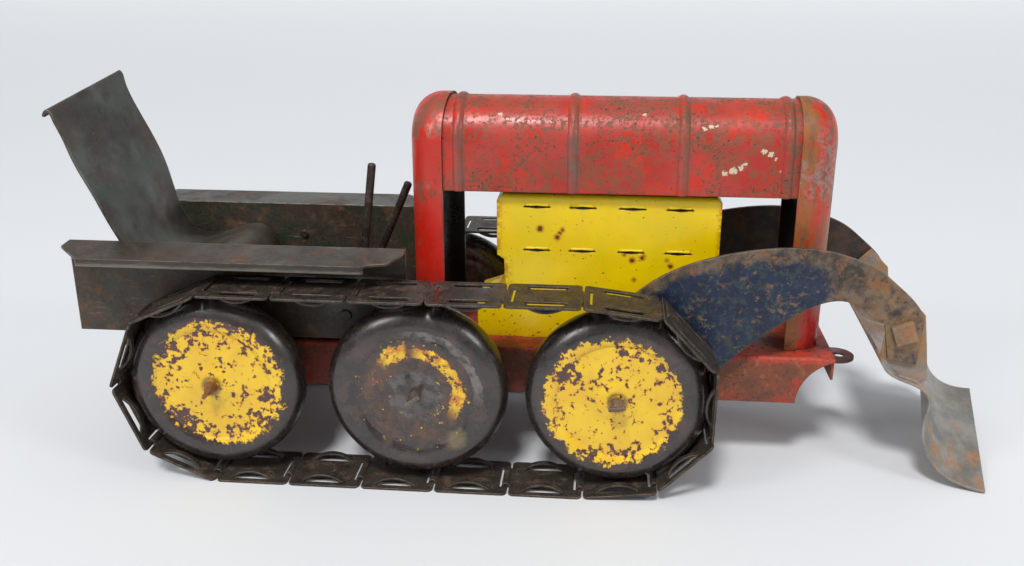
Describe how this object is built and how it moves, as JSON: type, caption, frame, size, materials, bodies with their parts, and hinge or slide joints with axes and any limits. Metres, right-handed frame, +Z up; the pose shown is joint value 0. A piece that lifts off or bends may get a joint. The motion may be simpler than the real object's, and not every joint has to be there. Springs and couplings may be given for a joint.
{
  "type": "toy tractor",
  "caption": "Pressed-steel toy crawler tractor with an arched hood, open seat tub, link tracks over spinning wheels and a front scoop on lift arms.",
  "frame": {"origin": "on the ground under the middle of the whole toy", "axes": "+X forwards towards the scoop, +Y to the left side, +Z up"},
  "size_m": [0.408, 0.1272, 0.1582],
  "materials": {
    "red_paint": "worn red enamel with rust specks",
    "yellow_paint": "chipped yellow enamel with rust spots",
    "olive_paint": "mostly bare dark steel with green enamel remains",
    "navy_paint": "navy enamel with rust patches",
    "wheel_paint": "dark oxidised steel with a chipped yellow disc",
    "track_steel": "dark oxidised sheet steel",
    "scoop_steel": "bare grey steel with orange rust",
    "rod_steel": "dull worn steel"
  },
  "bodies": {
    "frame": {"chassis": "red_paint", "tow_tongue": "red_paint", "rear_cowl": "red_paint", "front_cowl": "red_paint", "hood": "red_paint", "engine_block": "yellow_paint", "tub_panel_left": "olive_paint", "tub_panel_right": "olive_paint", "tub_floor": "olive_paint", "seat": "olive_paint", "lever_pin": "rod_steel", "axle_front": "rod_steel", "axle_middle": "rod_steel", "axle_rear": "rod_steel", "axle_spacers": "rod_steel", "tub_rivets": "rod_steel", "track_left_top_run": "track_steel", "track_left_front_wrap": "track_steel", "track_left_bottom_run": "track_steel", "track_left_rear_wrap": "track_steel", "track_right_top_run": "track_steel", "track_right_front_wrap": "track_steel", "track_right_bottom_run": "track_steel", "track_right_rear_wrap": "track_steel"},
    "wheel_front_left": {"wheel_front_left_outer": "wheel_paint", "wheel_front_left_inner": "wheel_paint"},
    "wheel_front_right": {"wheel_front_right_outer": "wheel_paint", "wheel_front_right_inner": "wheel_paint"},
    "wheel_middle_left": {"wheel_middle_left_outer": "wheel_paint", "wheel_middle_left_inner": "wheel_paint"},
    "wheel_middle_right": {"wheel_middle_right_outer": "wheel_paint", "wheel_middle_right_inner": "wheel_paint"},
    "wheel_rear_left": {"wheel_rear_left_outer": "wheel_paint", "wheel_rear_left_inner": "wheel_paint"},
    "wheel_rear_right": {"wheel_rear_right_outer": "wheel_paint", "wheel_rear_right_inner": "wheel_paint"},
    "lever_left": {"lever_left": "rod_steel"},
    "lever_right": {"lever_right": "rod_steel"},
    "lift_arms": {"arm_left": "navy_paint", "arm_right": "navy_paint", "scoop_bolts": "rod_steel", "scoop_nuts": "rod_steel"},
    "scoop": {"scoop": "scoop_steel"}
  },
  "joints": [
    {"name": "wheel_front_left_spin", "type": "hinge", "parent": "frame", "child": "wheel_front_left", "pos_m": [0.03375, 0.0495, 0.04175], "axis": [0, 1, 0], "continuous": true},
    {"name": "wheel_front_right_spin", "type": "hinge", "parent": "frame", "child": "wheel_front_right", "pos_m": [0.03375, -0.0495, 0.04175], "axis": [0, 1, 0], "continuous": true},
    {"name": "wheel_middle_left_spin", "type": "hinge", "parent": "frame", "child": "wheel_middle_left", "pos_m": [-0.04815, 0.0495, 0.04175], "axis": [0, 1, 0], "continuous": true},
    {"name": "wheel_middle_right_spin", "type": "hinge", "parent": "frame", "child": "wheel_middle_right", "pos_m": [-0.04815, -0.0495, 0.04175], "axis": [0, 1, 0], "continuous": true},
    {"name": "wheel_rear_left_spin", "type": "hinge", "parent": "frame", "child": "wheel_rear_left", "pos_m": [-0.13325, 0.0495, 0.04175], "axis": [0, 1, 0], "continuous": true},
    {"name": "wheel_rear_right_spin", "type": "hinge", "parent": "frame", "child": "wheel_rear_right", "pos_m": [-0.13325, -0.0495, 0.04175], "axis": [0, 1, 0], "continuous": true},
    {"name": "lever_left_swing", "type": "hinge", "parent": "frame", "child": "lever_left", "pos_m": [-0.08125, 0.006, 0.066], "axis": [0, 1, 0], "range_deg": [-45, 0]},
    {"name": "lever_right_swing", "type": "hinge", "parent": "frame", "child": "lever_right", "pos_m": [-0.08125, -0.006, 0.066], "axis": [0, 1, 0], "range_deg": [-30, 14]},
    {"name": "arm_lift", "type": "hinge", "parent": "frame", "child": "lift_arms", "pos_m": [0.03375, 0, 0.04175], "axis": [0, -1, 0], "range_deg": [0, 25]},
    {"name": "scoop_tilt", "type": "hinge", "parent": "lift_arms", "child": "scoop", "pos_m": [0.14845, 0, 0.0665], "axis": [0, -1, 0], "range_deg": [0, 30]}
  ]
}
